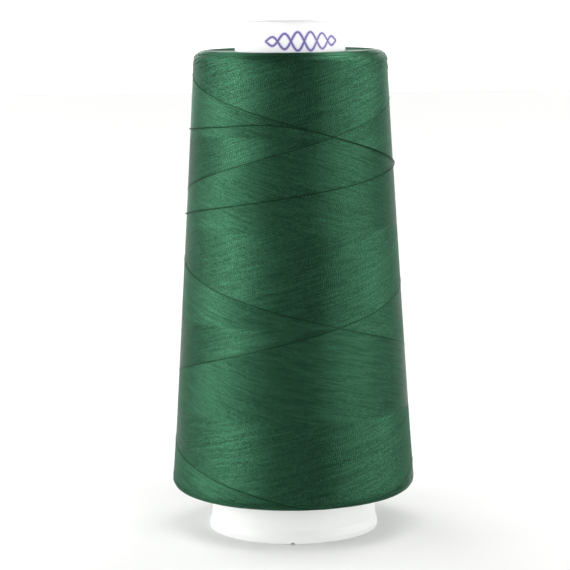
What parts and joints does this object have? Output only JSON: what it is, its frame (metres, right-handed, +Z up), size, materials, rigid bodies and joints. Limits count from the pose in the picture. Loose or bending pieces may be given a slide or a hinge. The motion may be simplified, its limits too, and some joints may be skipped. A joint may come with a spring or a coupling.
{
  "type": "cone of sewing thread",
  "caption": "Tapered moulded core cross-wound with a thick package of sewing thread, with a bare foot to stand on and a labelled hollow nose.",
  "frame": {"origin": "centre of the face that the foot stands on", "axes": "+Z up along the cone's axis, from the foot to the nose; -Y is the side with the thread notch"},
  "size_m": [0.06, 0.06, 0.126],
  "materials": {
    "core_plastic": "white moulded polypropylene, satin",
    "label_film": "white printed film with a violet pattern",
    "thread": "bright green spun polyester thread, soft sheen"
  },
  "bodies": {
    "root": {"cone_core": "core_plastic", "nose_label": "label_film", "inner_layers": "thread", "outer_layers": "thread", "last_wraps": "thread"}
  },
  "joints": []
}
